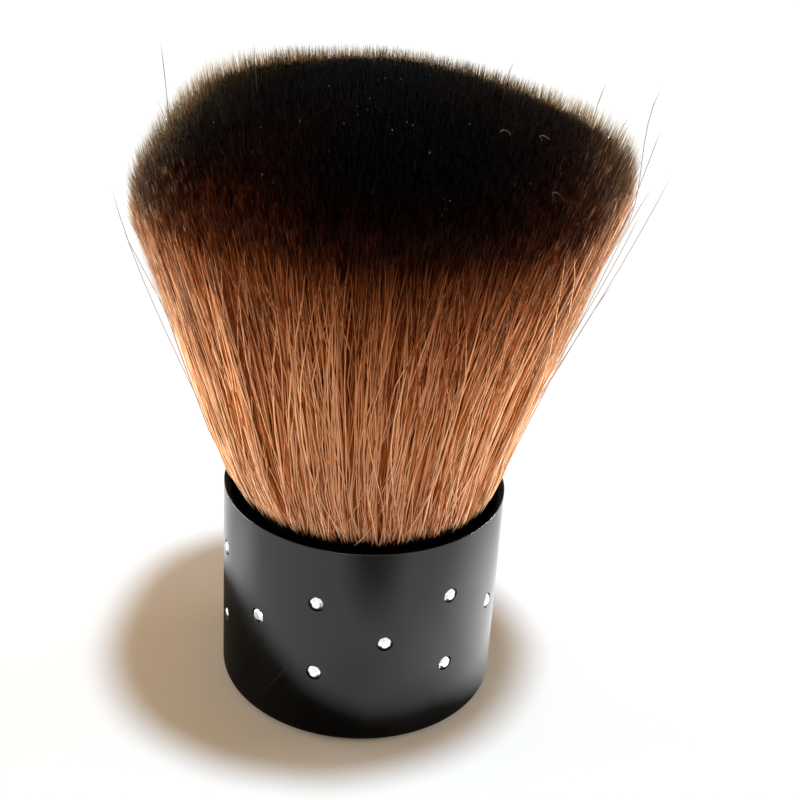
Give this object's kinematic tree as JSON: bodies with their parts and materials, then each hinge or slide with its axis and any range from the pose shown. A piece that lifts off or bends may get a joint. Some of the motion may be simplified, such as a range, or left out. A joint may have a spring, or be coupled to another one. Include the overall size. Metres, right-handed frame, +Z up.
{
  "type": "nail dust brush",
  "caption": "Short round black handle with a flat base and small cut stones set in its side, holding a dense, flared and domed head of soft two-tone hair.",
  "frame": {"origin": "middle of the flat base, where the handle stands", "axes": "+Z up the handle's axis, from the base to the crown of the hair; -Y is the side that the picture shows"},
  "size_m": [0.05, 0.0503, 0.0706],
  "materials": {
    "black_handle": "glossy moulded black plastic with fine handling scratches",
    "black_cup": "satin black plastic",
    "hard_glue": "set amber glue, slightly glossy",
    "soft_hair": "fine synthetic hair, tan at the roots and near black at the tips",
    "foiled_stone": "clear cut stone with a silver foiled back"
  },
  "bodies": {
    "root": {"handle_shell": "black_handle", "glue_bed": "hard_glue", "knot_cup": "black_cup", "hair_knot": "soft_hair", "stone_01": "foiled_stone", "stone_02": "foiled_stone", "stone_03": "foiled_stone", "stone_04": "foiled_stone", "stone_05": "foiled_stone", "stone_06": "foiled_stone", "stone_07": "foiled_stone", "stone_08": "foiled_stone", "stone_09": "foiled_stone", "stone_10": "foiled_stone", "stone_11": "foiled_stone", "stone_12": "foiled_stone", "stone_13": "foiled_stone", "stone_14": "foiled_stone", "stone_15": "foiled_stone", "stone_16": "foiled_stone", "stone_17": "foiled_stone", "stone_18": "foiled_stone", "stone_19": "foiled_stone", "stone_20": "foiled_stone"}
  },
  "joints": []
}
